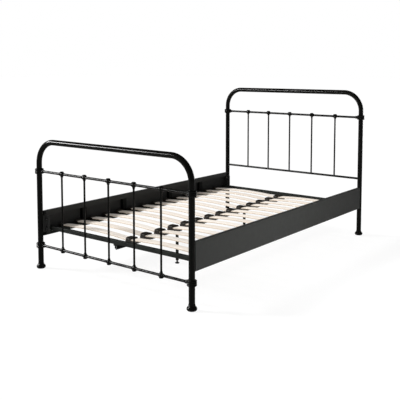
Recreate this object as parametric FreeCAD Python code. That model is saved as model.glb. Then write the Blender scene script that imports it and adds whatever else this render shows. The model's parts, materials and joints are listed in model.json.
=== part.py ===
"""Metal bed frame: hoop head and foot boards, steel side panels and a sprung slat base.

Millimetres. The origin is on the floor, midway between the head and foot boards and on the
centre line. +Z is up, +Y runs from the foot end to the head end, +X is the right-hand side.
"""
import FreeCAD
import Part
import math
import os

V = FreeCAD.Vector

# ---- overall sizes ----
POST_SPACING = 1245.0       # left post axis to right post axis
BOARD_SPACING = 2060.0      # footboard plane to headboard plane
FOOTBOARD_HEIGHT = 841.0    # floor to the top of the foot hoop
HEADBOARD_HEIGHT = 1115.0   # floor to the top of the head hoop

# ---- tubes of the two boards ----
POST_D = 35.0
POST_WALL = 1.5
HOOP_BEND_R = 140.0         # centre line of the rounded top corners
RAIL_D = 16.0
RAIL_WALL = 1.2
SPINDLE_D = 12.0
SPINDLE_WALL = 1.0
SPINDLE_PITCH = 203.5
SPINDLE_COUNT = 5
FOOT_RAIL_DROP = 209.0      # top of the foot hoop to the upper rail's axis
FOOT_LOWER_RAIL_Z = 152.0
HEAD_RAIL_DROP = 206.0      # top of the head hoop to the upper rail's axis
HEAD_LOWER_RAIL_Z = 439.0

# ---- turned foot under each post ----
BUN_D = 58.0
BUN_H = 36.0
BUN_MAX_Z = 13.0            # height of the widest ring
BUN_SOLE_D = 30.0
BUN_LIP = 1.6               # wall left round the post at the top
BUN_SOCKET_Z = 18.0         # the post stands on this shoulder

# ---- cast collars and knots over the welded crossings ----
COLLAR_H = 33.0
COLLAR_BEAD_D = 56.0
COLLAR_GROOVE_D = 49.0
COLLAR_CONE_X = 42.0        # reach of the cone along the rail, from the post axis
COLLAR_CONE_D = 34.0
CAST_WALL = 1.8             # wall of a casting where it thins out over a rail or spindle
KNOT_LENGTH = 34.0
KNOT_D = 27.0
KNOT_CAP_D = 26.0
KNOT_CAP_RISE = 17.0        # rail axis to the top of the button
KNOT_NECK = 20.0            # rail axis to the end of the neck on the spindle
KNOT_NECK_D = 22.0

# ---- side panels: a folded sheet channel, open towards the mattress ----
PANEL_T = 1.5
PANEL_OUTSET = 12.0         # outer face beyond the post axis
PANEL_DEPTH = 25.0
PANEL_BOTTOM_Z = 211.0
PANEL_H = 160.0
PANEL_LIP = 32.0
PANEL_BEND_R = 3.0
PANEL_END_GAP = 0.5         # panel end to the post's surface

# ---- joint between panel and post ----
PLATE_T = 4.0               # bracket plate welded to the post
PLATE_OFFSET = 32.0         # post axis to the near side of that plate
PLATE_REACH = 48.0          # inwards from the post axis
PLATE_MARGIN = 6.0          # the plate runs this far past the lips' free edges
PLATE_SIDE_GAP = 1.5        # bracket to the panel's wall
FLANGE_T = 3.0              # end flange of the panel
BRACKET_CHEEK_T = 4.0
BOLT_INSET = 30.0           # inwards from the post axis
BOLT_RISE = 28.0            # above and below the middle of the plate
BOLT_D = 8.0
BOLT_HEAD_AF = 13.0
BOLT_HEAD_H = 5.5
BOLT_CLEARANCE = 0.25       # round a bolt in its hole
THREAD_CLEARANCE = 0.03     # a thread in its nut, modelled as plain cylinders
WELD_NUT_H = 6.5
BOLT_OVERRUN = 2.0          # bolt past its nut

# ---- stiffeners inside the panels ----
STIFFENER_W = 38.0
STIFFENER_T = 2.0
STIFFENER_Y = (257.0, 647.0)  # either side of the middle of the slat base

# ---- slat base ----
BASE_RISE = 36.0            # panel's lower edge to the ledge's deck
LEDGE_W = 38.0
LEDGE_T = 3.0
LEDGE_END_GAP = 1.5         # end of the ledge to the heads of the panel bolts
FOOT_END_INSET = 50.0       # board plane to the outer face of the end rail
HEAD_END_INSET = 80.0
END_RAIL_SIZE = 25.0
END_RAIL_WALL = 1.5
END_RAIL_GAP = 3.0          # rail end to the panel's lip
TUBE_CORNER_R = 2.5
BEAM_W = 30.0
BEAM_H = 20.0
BEAM_WALL = 1.5
BEAM_DROP = 10.0            # beam below the end rails, on a pad welded under each of them
BEAM_INSET = 12.0           # beam end from the outer face of the end rail
SMALL_BOLT_D = 6.0
SMALL_HEAD_AF = 10.0
SMALL_HEAD_H = 4.0
SMALL_BOLT_REACH = 5.0      # bolt past the wall that it is threaded into
RAIL_BOLT_INSET = 20.0      # bolt axis from the end of the rail

# ---- slats ----
SLAT_ROWS = 14
SLAT_END_GAP = 71.7         # end rail to the first slat
SLAT_W = 57.0
SLAT_T = 8.0
SLAT_BOW = 14.0             # rise of the middle of each slat
SLAT_EDGE_R = 1.5
SLAT_PLAY = 0.4             # slat in its pocket, all round
CUP_BASE = 3.0              # floor of the plastic holders
CUP_WALL = 3.0
CUP_RIM = 3.5               # cap's walls above the end of the slat
HOOD_T = 1.5                # hood over a slat's end, where it is thinnest
ARM_REACH = 100.0           # arms beside the slat, from the closed end of its pocket
ARM_RISE = 6.0              # their tips rise with the slat
ARM_TIP_H = 6.5
HOLDER_ARM_DROP = 5.0       # arms of the centre holders below those of the caps
HOLDER_WEB = 8.0            # web between the ends of a left and a right slat
HOLDER_HOOD = 36.0          # hood over the right slat, from the middle of the web
HOLDER_HEADROOM = 4.5       # inside that hood, above the end of the slat
HOLDER_ARCH_H = 25.0
TONGUE_REACH = 22.0         # tongue under the left slat
TONGUE_SHARE = 0.6          # its width against the slat's
LUG_DROP = 7.0              # lugs that clasp the centre beam
LUG_T = 5.0
LUG_PLAY = 0.4
CAP_LENGTH = 34.0
CAP_HOOD = 12.0             # hood over the end of the slat
CAP_HEADROOM = 1.5
CAP_ARCH_H = 24.0

# ---- centre legs and levelling feet ----
LEG_Y = 392.0               # either side of the middle of the slat base
LEG_D = 20.0
LEG_WALL = 1.5
LEG_PLATE = (72.0, 26.0, 3.0)
LEG_SCREW_Y = 26.0
LEG_BOTTOM_Z = 20.0
LEG_NUT_H = 12.0
STUD_D = 8.0
STUD_PLAY = 0.35            # round the stud, so that it runs freely
STUD_TOP_Z = 42.0
GLIDE_D = 30.0
GLIDE_H = 6.0
GLIDE_HEX_AF = 13.0
GLIDE_HEX_H = 5.0

# ---- values worked out from those above ----
POST_X = POST_SPACING / 2.0
BOARD_Y = BOARD_SPACING / 2.0
FOOT_UPPER_RAIL_Z = FOOTBOARD_HEIGHT - FOOT_RAIL_DROP
HEAD_UPPER_RAIL_Z = HEADBOARD_HEIGHT - HEAD_RAIL_DROP
POST_R = POST_D / 2.0
RAIL_R = RAIL_D / 2.0
SPINDLE_R = SPINDLE_D / 2.0
PANEL_OUTER_X = POST_X + PANEL_OUTSET
PANEL_INNER_X = PANEL_OUTER_X - PANEL_DEPTH
PANEL_TOP_Z = PANEL_BOTTOM_Z + PANEL_H
PANEL_END_Y = BOARD_Y - POST_R - PANEL_END_GAP
FLANGE_Y = BOARD_Y - PLATE_OFFSET - PLATE_T - FLANGE_T   # inner side of the end flange
PLATE_LOW_Z = PANEL_BOTTOM_Z + PANEL_LIP - PLATE_MARGIN
PLATE_HIGH_Z = PANEL_TOP_Z - PANEL_LIP + PLATE_MARGIN
PLATE_MID_Z = (PLATE_LOW_Z + PLATE_HIGH_Z) / 2.0
BRACKET_OUTER_X = PANEL_OUTER_X - PANEL_T - PLATE_SIDE_GAP
BASE_Z = PANEL_BOTTOM_Z + BASE_RISE     # common level: tops of the ledges, undersides of the end rails
BASE_SHIFT = (FOOT_END_INSET - HEAD_END_INSET) / 2.0    # middle of the slat base from the origin
END_RAIL_SPAN = BOARD_SPACING - FOOT_END_INSET - HEAD_END_INSET
SLAT_RUN = END_RAIL_SPAN - 2.0 * (END_RAIL_SIZE + SLAT_END_GAP) - SLAT_W
SLAT_PITCH = SLAT_RUN / (SLAT_ROWS - 1)
SLAT_END_X = PANEL_INNER_X - CUP_WALL - SLAT_PLAY
SLAT_SEAT_Z = BASE_Z + CUP_BASE
BEAM_TOP_Z = BASE_Z - BEAM_DROP
BEAM_BOTTOM_Z = BEAM_TOP_Z - BEAM_H
RAIL_OUTER_Y = END_RAIL_SPAN / 2.0

SIDES = (("left", -1), ("right", 1))
SPINDLE_XS = [(i - (SPINDLE_COUNT - 1) / 2.0) * SPINDLE_PITCH for i in range(SPINDLE_COUNT)]
SLAT_YS = [BASE_SHIFT + (i - (SLAT_ROWS - 1) / 2.0) * SLAT_PITCH for i in range(SLAT_ROWS)]


# ---- helpers ----
def box(x0, x1, y0, y1, z0, z1):
    """A block between two corners, given in any order."""
    low = V(min(x0, x1), min(y0, y1), min(z0, z1))
    return Part.makeBox(abs(x1 - x0), abs(y1 - y0), abs(z1 - z0), low)


def rod(radius, start, end):
    axis = end - start
    return Part.makeCylinder(radius, axis.Length, start, axis)


def pipe(radius, wall, start, end):
    """A straight tube; its bore runs past both ends so that the cut is clean."""
    step = (end - start).normalize() * 1.0
    return rod(radius, start, end).cut(rod(radius - wall, start - step, end + step))


def cone(r0, r1, start, end):
    axis = end - start
    return Part.makeCone(r0, r1, axis.Length, start, axis)


def hexagon(across_flats, start, end):
    """A hexagonal prism from start to end."""
    radius = across_flats / math.sqrt(3.0)
    points = [V(radius * math.cos(math.radians(60 * i)), radius * math.sin(math.radians(60 * i)), 0)
              for i in range(7)]
    prism = Part.Face(Part.makePolygon(points)).extrude(V(0, 0, (end - start).Length))
    turn = FreeCAD.Rotation(V(0, 0, 1), end - start)
    prism.Placement = FreeCAD.Placement(start, turn)
    return prism


def fuse(shapes):
    whole = shapes[0].multiFuse(shapes[1:])
    return whole.removeSplitter()


def group(shapes):
    """Separate solids that share one file."""
    solids = [solid for shape in shapes for solid in shape.Solids]
    return Part.makeCompound(solids)


def mirrored(shape, side):
    """A shape drawn for the right-hand side, on the side asked for."""
    return shape if side > 0 else shape.mirror(V(0, 0, 0), V(1, 0, 0))


def turned(shape, end):
    """A shape drawn for the head end (y > 0), at the end asked for."""
    return shape if end > 0 else shape.mirror(V(0, 0, 0), V(0, 1, 0))


def lathe(points, origin):
    """Revolves a closed outline of (radius, height) points and arcs about a vertical axis.

    A point given as (radius, height, "via") is the middle of an arc between its neighbours.
    """
    spots = [(V(p[0], 0, p[1]), len(p) == 3) for p in points]
    edges = []
    i = 0
    while i < len(spots):
        here = spots[i][0]
        following, bent = spots[(i + 1) % len(spots)]
        if bent:
            beyond = spots[(i + 2) % len(spots)][0]
            edges.append(Part.Arc(here, following, beyond).toShape())
            i += 2
        else:
            edges.append(Part.LineSegment(here, following).toShape())
            i += 1
    face = Part.Face(Part.Wire(Part.__sortEdges__(edges)))
    solid = face.revolve(V(0, 0, 0), V(0, 0, 1), 360)
    solid.translate(origin)
    return solid


def square_tube(width, height, wall, corner_r, length):
    """A rectangular tube along +Y from y = 0, with its lower left corner at x = z = 0."""
    outer = Part.makeBox(width, length, height)
    long_edges = [e for e in outer.Edges if abs(e.Vertexes[0].Y - e.Vertexes[-1].Y) > 0.5 * length]
    outer = outer.makeFillet(corner_r, long_edges)
    inner = Part.makeBox(width - 2 * wall, length + 2, height - 2 * wall, V(wall, -1, wall))
    long_edges = [e for e in inner.Edges if abs(e.Vertexes[0].Y - e.Vertexes[-1].Y) > 0.5 * length]
    inner = inner.makeFillet(max(corner_r - wall, 0.3), long_edges)
    return outer.cut(inner)


# ---- head and foot boards ----
def hoop(height, y):
    """One bent tube: post, rounded corner, top, rounded corner, post."""
    top = height - POST_R
    bend = HOOP_BEND_R
    slope = bend * (1.0 - math.sqrt(0.5))

    def path(overrun):
        low = BUN_SOCKET_Z - overrun
        corners = [V(-POST_X, y, low), V(-POST_X, y, top - bend), V(-POST_X + slope, y, top - slope),
                   V(-POST_X + bend, y, top), V(POST_X - bend, y, top),
                   V(POST_X - slope, y, top - slope), V(POST_X, y, top - bend), V(POST_X, y, low)]
        a, b, c, d, e, f, g, h = corners
        return Part.Wire([Part.LineSegment(a, b).toShape(), Part.Arc(b, c, d).toShape(),
                          Part.LineSegment(d, e).toShape(), Part.Arc(e, f, g).toShape(),
                          Part.LineSegment(g, h).toShape()])

    def sweep(radius, overrun):
        spine = path(overrun)
        ring = Part.Circle(V(-POST_X, y, BUN_SOCKET_Z - overrun), V(0, 0, 1), radius).toShape()
        return spine.makePipeShell([Part.Wire(ring)], True, False)

    return sweep(POST_R, 0.0).cut(sweep(POST_R - POST_WALL, 1.0))


def posts_at(y):
    """Solid cylinders where the two posts stand, to shape what meets them."""
    return [rod(POST_R, V(s * POST_X, y, 0), V(s * POST_X, y, HEADBOARD_HEIGHT)) for _, s in SIDES]


def cross_rail(y, z):
    """A tube between the posts, coped to fit round them."""
    tube = pipe(RAIL_R, RAIL_WALL, V(-POST_X, y, z), V(POST_X, y, z))
    return tube.cut(Part.makeCompound(posts_at(y)))


def spindle(x, y, low_z, high_z):
    """An upright between two rails, coped to both."""
    tube = pipe(SPINDLE_R, SPINDLE_WALL, V(x, y, low_z), V(x, y, high_z))
    rails = [rod(RAIL_R, V(x - POST_D, y, z), V(x + POST_D, y, z)) for z in (low_z, high_z)]
    return tube.cut(Part.makeCompound(rails))


def collar(side, y, z):
    """A beaded casting round a post, with a cone that runs out over the end of the rail."""
    bead = COLLAR_BEAD_D / 2.0
    groove = COLLAR_GROOVE_D / 2.0
    step = COLLAR_H / 6.0
    low = -COLLAR_H / 2.0
    outline = [(POST_R, low), (groove, low)]
    for i in range(3):
        middle = low + (2 * i + 1) * step
        outline += [(bead, middle, "via"), (groove, low + (2 * i + 2) * step)]
    outline.append((POST_R, -low))
    barrel = lathe(outline, V(POST_X, y, z))
    spread = cone(COLLAR_CONE_D / 2.0, RAIL_R + CAST_WALL, V(POST_X, y, z),
                  V(POST_X - COLLAR_CONE_X, y, z))
    lip = rod(RAIL_R + 1.5 * CAST_WALL, V(POST_X - COLLAR_CONE_X + 3, y, z),
              V(POST_X - COLLAR_CONE_X - 2, y, z))
    bores = [rod(POST_R, V(POST_X, y, z - COLLAR_H), V(POST_X, y, z + COLLAR_H)),
             rod(RAIL_R, V(POST_X, y, z), V(POST_X - 2 * COLLAR_CONE_X, y, z))]
    cast = fuse([barrel, spread, lip]).cut(Part.makeCompound(bores))
    return mirrored(cast, side)


def knot(x, y, z, towards):
    """A casting over a crossing; its neck covers the spindle on the side given by towards."""
    half = KNOT_LENGTH / 2.0
    thin = RAIL_R + CAST_WALL
    outline = [(0, -half), (thin, -half), (KNOT_D / 2.0, 0, "via"), (thin, half), (0, half)]
    barrel = lathe(outline, V(0, 0, 0))
    barrel.Placement = FreeCAD.Placement(V(x, y, z), FreeCAD.Rotation(V(0, 0, 1), V(1, 0, 0)))
    neck = cone(KNOT_NECK_D / 2.0, SPINDLE_R + CAST_WALL, V(x, y, z),
                V(x, y, z + towards * KNOT_NECK))
    cap_r = KNOT_CAP_D / 2.0
    stem = rod(0.75 * cap_r, V(x, y, z), V(x, y, z - towards * (KNOT_CAP_RISE - 3)))
    button = cone(cap_r, 0.8 * cap_r, V(x, y, z - towards * (KNOT_CAP_RISE - 6)),
                  V(x, y, z - towards * KNOT_CAP_RISE))
    bores = [rod(RAIL_R, V(x - KNOT_LENGTH, y, z), V(x + KNOT_LENGTH, y, z)),
             rod(SPINDLE_R, V(x, y, z), V(x, y, z + towards * 2 * KNOT_NECK))]
    return fuse([barrel, neck, stem, button]).cut(Part.makeCompound(bores))


def bun_foot(side, y):
    """A turned foot with a socket that the post stands in."""
    bun = BUN_D / 2.0
    sole = BUN_SOLE_D / 2.0
    neck = POST_R + BUN_LIP
    waist = neck + 0.25 * (bun - neck)
    waist_z = BUN_MAX_Z + 0.62 * (BUN_H - BUN_MAX_Z)
    outline = [(0, 0), (sole, 0),
               (sole + 0.78 * (bun - sole), 0.34 * BUN_MAX_Z, "via"), (bun, BUN_MAX_Z),
               (waist + 0.72 * (bun - waist), BUN_MAX_Z + 0.6 * (waist_z - BUN_MAX_Z), "via"),
               (waist, waist_z),
               (neck + 0.3 * (waist - neck), waist_z + 0.5 * (BUN_H - waist_z), "via"),
               (neck, BUN_H), (POST_R, BUN_H), (POST_R, BUN_SOCKET_Z), (0, BUN_SOCKET_Z)]
    return lathe(outline, V(side * POST_X, y, 0))


# ---- side panels and what joins them to the posts ----
def side_panel(side):
    """Folded channel with an end flange at each end, drilled for the bolts."""
    x_out = PANEL_OUTER_X
    x_in = PANEL_INNER_X
    t = PANEL_T
    low, high = PANEL_BOTTOM_Z, PANEL_TOP_Z
    outline = [(x_out, low), (x_out, high), (x_in, high), (x_in, high - PANEL_LIP),
               (x_in + t, high - PANEL_LIP), (x_in + t, high - t), (x_out - t, high - t),
               (x_out - t, low + t), (x_in + t, low + t), (x_in + t, low + PANEL_LIP),
               (x_in, low + PANEL_LIP), (x_in, low), (x_out, low)]
    face = Part.Face(Part.makePolygon([V(x, -PANEL_END_Y, z) for x, z in outline]))
    channel = face.extrude(V(0, 2 * PANEL_END_Y, 0))

    def corner_edges(shape, spots):
        return [e for e in shape.Edges for x, z in spots
                if e.Length > PANEL_END_Y and math.hypot(e.Vertexes[0].X - x, e.Vertexes[0].Z - z) < 0.01]

    outer_spots = [(x, z) for x in (x_out, x_in) for z in (low, high)]
    inner_spots = [(x, z) for x in (x_out - t, x_in + t) for z in (low + t, high - t)]
    channel = channel.makeFillet(PANEL_BEND_R, corner_edges(channel, outer_spots))
    channel = channel.makeFillet(PANEL_BEND_R - t, corner_edges(channel, inner_spots))
    for end in (-1, 1):
        clear = box(x_in - 1, x_out - t - PANEL_BEND_R, end * FLANGE_Y, end * (BOARD_Y + 1),
                    low + t + PANEL_BEND_R, high - t - PANEL_BEND_R)
        channel = channel.cut(clear)
        flange = box(POST_X - PLATE_REACH, x_out - 0.5 * t, end * FLANGE_Y, end * (FLANGE_Y + FLANGE_T),
                     PLATE_LOW_Z, PLATE_HIGH_Z)
        holes = [rod(BOLT_D / 2.0 + BOLT_CLEARANCE, V(POST_X - BOLT_INSET, end * (FLANGE_Y - 5), z),
                     V(POST_X - BOLT_INSET, end * (FLANGE_Y + FLANGE_T + 5), z)) for z in bolt_zs()]
        channel = fuse([channel, flange]).cut(Part.makeCompound(holes))
    return mirrored(channel, side)


def bolt_zs():
    return (PLATE_MID_Z - BOLT_RISE, PLATE_MID_Z + BOLT_RISE)


def post_bracket(side, end):
    """Channel welded to a post: two cheeks, a bolting plate and two weld nuts behind it."""
    near = BOARD_Y - PLATE_OFFSET
    plate = box(POST_X - PLATE_REACH, BRACKET_OUTER_X, near - PLATE_T, near, PLATE_LOW_Z, PLATE_HIGH_Z)
    cheek_xs = (POST_X - 0.65 * POST_R - BRACKET_CHEEK_T, BRACKET_OUTER_X - BRACKET_CHEEK_T)
    cheeks = [box(x, x + BRACKET_CHEEK_T, near, BOARD_Y, PLATE_LOW_Z, PLATE_HIGH_Z) for x in cheek_xs]
    nuts = [hexagon(BOLT_HEAD_AF, V(POST_X - BOLT_INSET, near, z),
                    V(POST_X - BOLT_INSET, near + WELD_NUT_H, z)) for z in bolt_zs()]
    whole = fuse([plate] + cheeks + nuts)
    cuts = [rod(POST_R, V(POST_X, BOARD_Y, 0), V(POST_X, BOARD_Y, HEADBOARD_HEIGHT))]
    cuts += [rod(BOLT_D / 2.0 + THREAD_CLEARANCE, V(POST_X - BOLT_INSET, near - 10, z),
                 V(POST_X - BOLT_INSET, near + 20, z)) for z in bolt_zs()]
    cut = whole.cut(Part.makeCompound(cuts))
    return turned(mirrored(cut, side), end)


def panel_bolt(side, end, z):
    x = side * (POST_X - BOLT_INSET)
    seat = FLANGE_Y * end
    tip = end * (BOARD_Y - PLATE_OFFSET + WELD_NUT_H + BOLT_OVERRUN)
    head = hexagon(BOLT_HEAD_AF, V(x, seat, z), V(x, seat - end * BOLT_HEAD_H, z))
    shank = rod(BOLT_D / 2.0, V(x, seat, z), V(x, tip, z))
    return fuse([head, shank])


def stiffener(side, y):
    """Channel standing inside the side panel, webs across the panel's depth."""
    x_face = PANEL_INNER_X + PANEL_T
    x_back = PANEL_OUTER_X - PANEL_T
    low = PANEL_BOTTOM_Z + PANEL_T
    high = PANEL_TOP_Z - PANEL_T
    half = STIFFENER_W / 2.0
    face = box(x_face, x_face + STIFFENER_T, y - half, y + half, low, high)
    legs = [box(x_face, x_back, y + s * half, y + s * (half - STIFFENER_T), low, high) for s in (-1, 1)]
    r = PANEL_BEND_R
    whole = fuse([face] + legs)
    corner_cuts = []
    for z, up in ((low, 1), (high, -1)):
        for x, inward in ((x_face, 1), (x_back, -1)):
            points = [V(x, y - half - 1, z), V(x + inward * r, y - half - 1, z),
                      V(x, y - half - 1, z + up * r), V(x, y - half - 1, z)]
            corner_cuts.append(Part.Face(Part.makePolygon(points)).extrude(V(0, STIFFENER_W + 2, 0)))
    return mirrored(whole.cut(Part.makeCompound(corner_cuts)), side)


# ---- slat base ----
def slat_ledge(side):
    """Angle on the panel's lower lip; the slat caps and the end rails rest on it."""
    x_wall = PANEL_INNER_X
    half = FLANGE_Y - BOLT_HEAD_H - LEDGE_END_GAP
    deck = box(x_wall - LEDGE_W, x_wall, -half, half, BASE_Z - LEDGE_T, BASE_Z)
    leg = box(x_wall - LEDGE_T, x_wall, -half, half, PANEL_BOTTOM_Z + PANEL_BEND_R, BASE_Z)
    angle = fuse([deck, leg])
    holes = [rod(SMALL_BOLT_D / 2.0 + BOLT_CLEARANCE, V(rail_bolt_x(), y, BASE_Z - 10),
                 V(rail_bolt_x(), y, BASE_Z + 1)) for y in end_rail_ys()]
    return mirrored(angle.cut(Part.makeCompound(holes)), side)


def end_rail_ys():
    """Centre lines of the foot and the head end rail."""
    offset = RAIL_OUTER_Y - END_RAIL_SIZE / 2.0
    return (BASE_SHIFT - offset, BASE_SHIFT + offset)


def rail_bolt_x():
    return PANEL_INNER_X - END_RAIL_GAP - RAIL_BOLT_INSET


def end_rail(y):
    """Square tube between the panels, with a pad under its middle for the centre beam."""
    length = 2 * (PANEL_INNER_X - END_RAIL_GAP)
    tube = square_tube(END_RAIL_SIZE, END_RAIL_SIZE, END_RAIL_WALL, TUBE_CORNER_R, length)
    tube.rotate(V(0, 0, 0), V(0, 0, 1), -90)
    tube.translate(V(-length / 2.0, y + END_RAIL_SIZE / 2.0, BASE_Z))
    flat = END_RAIL_SIZE / 2.0 - TUBE_CORNER_R
    pad = box(-BEAM_W / 2.0, BEAM_W / 2.0, y - flat, y + flat, BEAM_TOP_Z, BASE_Z)
    holes = [rod(SMALL_BOLT_D / 2.0 + THREAD_CLEARANCE, V(x, y, BEAM_TOP_Z - 1), V(x, y, BASE_Z + 5))
             for x in (-rail_bolt_x(), 0.0, rail_bolt_x())]
    return fuse([tube, pad]).cut(Part.makeCompound(holes))


def centre_beam():
    length = END_RAIL_SPAN - 2 * BEAM_INSET
    tube = square_tube(BEAM_W, BEAM_H, BEAM_WALL, TUBE_CORNER_R, length)
    tube.translate(V(-BEAM_W / 2.0, BASE_SHIFT - length / 2.0, BEAM_BOTTOM_Z))
    holes = [rod(SMALL_BOLT_D / 2.0 + BOLT_CLEARANCE, V(0, y, BEAM_BOTTOM_Z - 1),
                 V(0, y, BEAM_TOP_Z + 1)) for y in end_rail_ys()]
    holes += [rod(SMALL_BOLT_D / 2.0 + THREAD_CLEARANCE, V(0, y, BEAM_BOTTOM_Z - 1),
                  V(0, y, BEAM_BOTTOM_Z + BEAM_WALL + 1)) for y in leg_screw_ys()]
    return tube.cut(Part.makeCompound(holes))


def small_bolt(x, y, head_z, tip_z):
    """A bolt driven upwards, with its head below head_z."""
    head = hexagon(SMALL_HEAD_AF, V(x, y, head_z), V(x, y, head_z - SMALL_HEAD_H))
    shank = rod(SMALL_BOLT_D / 2.0, V(x, y, head_z), V(x, y, tip_z))
    return fuse([head, shank])


def rounded_section(x, y0, y1, z0, z1, r):
    """A rectangle across x with its four corners rounded."""
    k = r * (1.0 - math.sqrt(0.5))
    lines = [((y0 + r, z0), (y1 - r, z0)), ((y1, z0 + r), (y1, z1 - r)),
             ((y1 - r, z1), (y0 + r, z1)), ((y0, z1 - r), (y0, z0 + r))]
    bends = [(y1 - k, z0 + k), (y1 - k, z1 - k), (y0 + k, z1 - k), (y0 + k, z0 + k)]
    edges = [Part.LineSegment(V(x, *a), V(x, *b)).toShape() for a, b in lines]
    for i in range(4):
        start, end = lines[i][1], lines[(i + 1) % 4][0]
        edges.append(Part.Arc(V(x, *start), V(x, *bends[i]), V(x, *end)).toShape())
    return Part.Face(Part.Wire(Part.__sortEdges__(edges)))


def slat(side, y):
    """A bent wood strip: its rounded section swept along an arc, with ends square to the arc."""
    x0 = HOLDER_WEB / 2.0 + SLAT_PLAY
    x1 = SLAT_END_X
    middle = (x0 + x1) / 2.0
    half = (x1 - x0) / 2.0
    top_r = (half ** 2 + SLAT_BOW ** 2) / (2.0 * SLAT_BOW)
    under_r = top_r - SLAT_T
    lean = math.asin(half / top_r)
    centre = V(middle, y, SLAT_SEAT_Z - under_r * math.cos(lean))
    section = rounded_section(middle, y - SLAT_W / 2.0, y + SLAT_W / 2.0,
                              centre.z + under_r, centre.z + top_r, SLAT_EDGE_R)
    section.rotate(centre, V(0, 1, 0), -math.degrees(lean))
    strip = section.revolve(centre, V(0, 1, 0), 2.0 * math.degrees(lean))
    return mirrored(strip, side)


def slat_arms(x_root, x_tip, y, low):
    """Two thin arms beside a slat, rising with it from low towards their tips."""
    pocket = SLAT_W / 2.0 + SLAT_PLAY
    tip_z = low + ARM_RISE
    points = [V(x_root, 0, low), V(x_tip, 0, tip_z), V(x_tip, 0, tip_z + ARM_TIP_H),
              V(x_root, 0, low + CUP_BASE + 0.75 * SLAT_T), V(x_root, 0, low)]
    arms = []
    for start in (y - pocket - CUP_WALL, y + pocket):
        arm = Part.Face(Part.makePolygon(points)).extrude(V(0, CUP_WALL, 0))
        arm.translate(V(0, start, 0))
        arms.append(arm)
    return arms


def arched_block(x0, x1, y, low, shoulder, crown):
    """A block across the slat from x0 to x1, its top an arch from shoulder up to crown."""
    outer = SLAT_W / 2.0 + SLAT_PLAY + CUP_WALL
    outline = [Part.LineSegment(V(0, -outer, low), V(0, -outer, shoulder)).toShape(),
               Part.Arc(V(0, -outer, shoulder), V(0, 0, crown), V(0, outer, shoulder)).toShape(),
               Part.LineSegment(V(0, outer, shoulder), V(0, outer, low)).toShape(),
               Part.LineSegment(V(0, outer, low), V(0, -outer, low)).toShape()]
    block = Part.Face(Part.Wire(outline)).extrude(V(x1 - x0, 0, 0))
    block.translate(V(x0, y, 0))
    return block


def slat_holder(y):
    """Holder on the centre beam: a hooded pocket for the right slat and a tongue for the left."""
    pocket = SLAT_W / 2.0 + SLAT_PLAY
    web = HOLDER_WEB / 2.0
    ceiling = SLAT_SEAT_Z + SLAT_T + HOLDER_HEADROOM
    half = TONGUE_SHARE * pocket
    hood = arched_block(-web, HOLDER_HOOD, y, BEAM_TOP_Z, ceiling + HOOD_T, BASE_Z + HOLDER_ARCH_H)
    room = box(web, HOLDER_HOOD + 1, y - pocket, y + pocket, SLAT_SEAT_Z, ceiling)
    tongue = box(-TONGUE_REACH, -web, y - half, y + half, BASE_Z, SLAT_SEAT_Z)
    lug = BEAM_W / 2.0 + LUG_PLAY
    lugs = [box(s * lug, s * (lug + LUG_T), y - half, y + half, BEAM_TOP_Z - LUG_DROP, BASE_Z)
            for s in (-1, 1)]
    arms = slat_arms(HOLDER_HOOD, ARM_REACH, y, BASE_Z - HOLDER_ARM_DROP)
    return fuse([hood, tongue] + lugs + arms).cut(room)


def slat_end_cap(side, y):
    """Pocket on the side ledge: floor, three walls, an arched hood and two arms beside the slat."""
    pocket = SLAT_W / 2.0 + SLAT_PLAY
    outer = pocket + CUP_WALL
    x_back = PANEL_INNER_X
    x_front = x_back - CAP_LENGTH
    x_hood = x_back - CUP_WALL - CAP_HOOD
    ceiling = SLAT_SEAT_Z + SLAT_T + CAP_HEADROOM
    rim = SLAT_SEAT_Z + SLAT_T + CUP_RIM
    hood = arched_block(x_hood, x_back, y, BASE_Z, rim, BASE_Z + CAP_ARCH_H)
    trough = box(x_front, x_hood, y - outer, y + outer, BASE_Z, rim)
    rooms = [box(x_front - 1, x_back - CUP_WALL, y - pocket, y + pocket, SLAT_SEAT_Z, ceiling),
             box(x_front - 1, x_hood, y - pocket, y + pocket, ceiling, rim + 1)]
    arms = slat_arms(x_front, x_back - ARM_REACH, y, BASE_Z)
    return mirrored(fuse([hood, trough] + arms).cut(Part.makeCompound(rooms)), side)


# ---- centre legs ----
def leg_ys():
    return (BASE_SHIFT - LEG_Y, BASE_SHIFT + LEG_Y)


def leg_screw_ys():
    return [y + s * LEG_SCREW_Y for y in leg_ys() for s in (-1, 1)]


def centre_leg(y):
    """Tube with a fixing plate on top and a nut pressed into its lower end."""
    length, width, thick = LEG_PLATE
    top = BEAM_BOTTOM_Z
    plate = box(-width / 2.0, width / 2.0, y - length / 2.0, y + length / 2.0, top - thick, top)
    tube = pipe(LEG_D / 2.0, LEG_WALL, V(0, y, LEG_BOTTOM_Z), V(0, y, top - thick))
    nut = rod(LEG_D / 2.0 - 0.5 * LEG_WALL, V(0, y, LEG_BOTTOM_Z), V(0, y, LEG_BOTTOM_Z + LEG_NUT_H))
    holes = [rod(SMALL_BOLT_D / 2.0 + BOLT_CLEARANCE, V(0, y + s * LEG_SCREW_Y, top - thick - 1),
                 V(0, y + s * LEG_SCREW_Y, top + 1)) for s in (-1, 1)]
    holes.append(rod(STUD_D / 2.0 + STUD_PLAY, V(0, y, LEG_BOTTOM_Z - 1),
                     V(0, y, LEG_BOTTOM_Z + LEG_NUT_H + 1)))
    return fuse([plate, tube, nut]).cut(Part.makeCompound(holes))


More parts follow.
